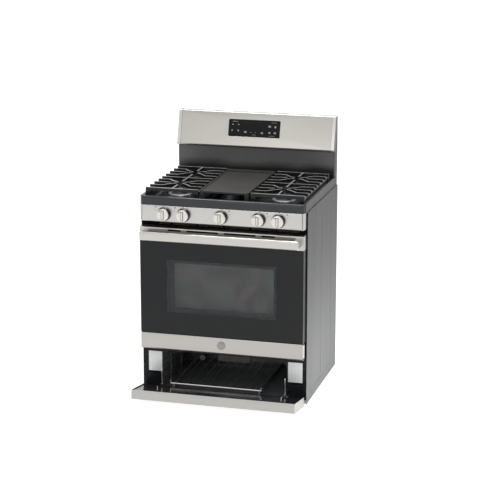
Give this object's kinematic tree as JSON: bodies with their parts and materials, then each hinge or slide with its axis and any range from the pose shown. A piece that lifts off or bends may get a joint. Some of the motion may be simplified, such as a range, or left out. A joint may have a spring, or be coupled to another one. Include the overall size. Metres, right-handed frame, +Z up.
{
  "type": "freestanding gas range",
  "caption": "Freestanding gas range with side burners, centre griddle, drop-down oven door, open drop-down broiler door, turning push knobs and rear control console.",
  "frame": {"origin": "centre of the bounding box on the floor, with the broiler door open as stored", "axes": "+X towards the right-hand side, +Y towards the back, +Z up"},
  "size_m": [0.759, 0.7982, 1.207],
  "materials": {
    "grey_paint": "satin metallic grey paint",
    "zinc_steel": "galvanised, spangled",
    "black_enamel": "gloss black enamel",
    "porcelain": "speckled gloss porcelain enamel",
    "gasket_braid": "braided glass fibre",
    "glass_wool": "matt wool",
    "lamp_glass": "clear",
    "chrome_wire": "bright plated",
    "aluminised_steel": "dull",
    "stainless": "horizontal brushed grain",
    "brass": "machined",
    "aluminium": "cast, dull",
    "ceramic": "matt",
    "display": "gloss black",
    "circuit_board": "solder mask",
    "knob_metal": "satin",
    "cast_iron": "matt black enamel",
    "griddle_metal": "dark non-stick",
    "door_glass": "black printed border, clear window",
    "clear_glass": "clear"
  },
  "bodies": {
    "cabinet": {"side_panel_left": "grey_paint", "side_panel_right": "grey_paint", "back_panel": "zinc_steel", "base_frame": "zinc_steel", "leveling_legs": "zinc_steel", "front_frame": "black_enamel", "door_gasket": "gasket_braid", "oven_liner": "porcelain", "oven_insulation": "glass_wool", "oven_floor": "porcelain", "oven_lamp": "lamp_glass", "temperature_probe": "chrome_wire", "oven_burner": "zinc_steel", "flame_spreader": "aluminised_steel", "broiler_liner": "black_enamel", "hinge_sockets": "zinc_steel", "control_panel": "stainless", "gas_manifold": "zinc_steel", "burner_valves": "brass", "gas_regulator": "aluminium", "cooktop": "black_enamel", "cooktop_side_trims": "grey_paint", "burner_heads": "aluminium", "burner_caps": "porcelain", "igniters": "ceramic", "backguard_lower": "black_enamel", "backguard_rear_cover": "grey_paint", "console_panel": "stainless", "console_end_caps": "stainless", "display_glass": "display", "control_board": "circuit_board", "screws": "chrome_wire"},
    "oven_door": {"door_frame": "black_enamel", "door_top_band": "stainless", "door_glass": "door_glass", "door_lower_trim": "stainless", "door_inner_panel": "black_enamel", "door_inner_glass": "clear_glass", "door_handle": "stainless", "handle_brackets": "stainless", "door_hinge_arms": "zinc_steel"},
    "broiler_door": {"broil_door_front": "stainless", "broil_door_inner": "black_enamel", "broil_hinge_arms": "chrome_wire"},
    "broiler_rack": {"broiler_rack": "chrome_wire"},
    "oven_rack_upper": {"oven_rack_upper": "chrome_wire"},
    "oven_rack_lower": {"oven_rack_lower": "chrome_wire"},
    "grate_left": {"grate_left": "cast_iron"},
    "grate_right": {"grate_right": "cast_iron"},
    "griddle": {"griddle": "griddle_metal"},
    "valve_stem_1": {"valve_stem_1": "brass"},
    "knob_1": {"knob_1": "knob_metal"},
    "valve_stem_2": {"valve_stem_2": "brass"},
    "knob_2": {"knob_2": "knob_metal"},
    "valve_stem_3": {"valve_stem_3": "brass"},
    "knob_3": {"knob_3": "knob_metal"},
    "valve_stem_4": {"valve_stem_4": "brass"},
    "knob_4": {"knob_4": "knob_metal"},
    "valve_stem_5": {"valve_stem_5": "brass"},
    "knob_5": {"knob_5": "knob_metal"}
  },
  "joints": [
    {"name": "oven_door_hinge", "type": "hinge", "parent": "cabinet", "child": "oven_door", "pos_m": [0, -0.22891, 0.241], "axis": [1, 0, 0], "range_deg": [0, 88], "stiffness_Nm_per_rad": 14, "springref_deg": -14.32},
    {"name": "broiler_door_hinge", "type": "hinge", "parent": "cabinet", "child": "broiler_door", "pos_m": [0, -0.21491, 0.035], "axis": [1, 0, 0], "range_deg": [-81, 0]},
    {"name": "broiler_rack_slide", "type": "slide", "parent": "cabinet", "child": "broiler_rack", "axis": [0, -1, 0], "range_m": [0, 0.06]},
    {"name": "oven_rack_upper_slide", "type": "slide", "parent": "cabinet", "child": "oven_rack_upper", "axis": [0, -1, 0], "range_m": [0, 0.018]},
    {"name": "oven_rack_lower_slide", "type": "slide", "parent": "cabinet", "child": "oven_rack_lower", "axis": [0, -1, 0], "range_m": [0, 0.018]},
    {"name": "grate_left_lift", "type": "slide", "parent": "cabinet", "child": "grate_left", "axis": [0, 0, 1], "range_m": [0, 0.06]},
    {"name": "grate_right_lift", "type": "slide", "parent": "cabinet", "child": "grate_right", "axis": [0, 0, 1], "range_m": [0, 0.06]},
    {"name": "griddle_lift", "type": "slide", "parent": "cabinet", "child": "griddle", "axis": [0, 0, 1], "range_m": [0, 0.06]},
    {"name": "knob_1_push", "type": "slide", "parent": "cabinet", "child": "valve_stem_1", "axis": [0, 1, 0], "range_m": [0, 0.0025], "stiffness_N_per_m": 1500, "springref_m": -0.002},
    {"name": "knob_1_turn", "type": "hinge", "parent": "valve_stem_1", "child": "knob_1", "pos_m": [-0.259, -0.24691, 0.849], "axis": [0, -1, 0], "range_deg": [0, 240]},
    {"name": "knob_2_push", "type": "slide", "parent": "cabinet", "child": "valve_stem_2", "axis": [0, 1, 0], "range_m": [0, 0.0025], "stiffness_N_per_m": 1500, "springref_m": -0.002},
    {"name": "knob_2_turn", "type": "hinge", "parent": "valve_stem_2", "child": "knob_2", "pos_m": [-0.17, -0.24691, 0.849], "axis": [0, -1, 0], "range_deg": [0, 240]},
    {"name": "knob_3_push", "type": "slide", "parent": "cabinet", "child": "valve_stem_3", "axis": [0, 1, 0], "range_m": [0, 0.0025], "stiffness_N_per_m": 1500, "springref_m": -0.002},
    {"name": "knob_3_turn", "type": "hinge", "parent": "valve_stem_3", "child": "knob_3", "pos_m": [0, -0.24691, 0.849], "axis": [0, -1, 0], "range_deg": [0, 240]},
    {"name": "knob_4_push", "type": "slide", "parent": "cabinet", "child": "valve_stem_4", "axis": [0, 1, 0], "range_m": [0, 0.0025], "stiffness_N_per_m": 1500, "springref_m": -0.002},
    {"name": "knob_4_turn", "type": "hinge", "parent": "valve_stem_4", "child": "knob_4", "pos_m": [0.17, -0.24691, 0.849], "axis": [0, -1, 0], "range_deg": [0, 240]},
    {"name": "knob_5_push", "type": "slide", "parent": "cabinet", "child": "valve_stem_5", "axis": [0, 1, 0], "range_m": [0, 0.0025], "stiffness_N_per_m": 1500, "springref_m": -0.002},
    {"name": "knob_5_turn", "type": "hinge", "parent": "valve_stem_5", "child": "knob_5", "pos_m": [0.259, -0.24691, 0.849], "axis": [0, -1, 0], "range_deg": [0, 240]}
  ]
}
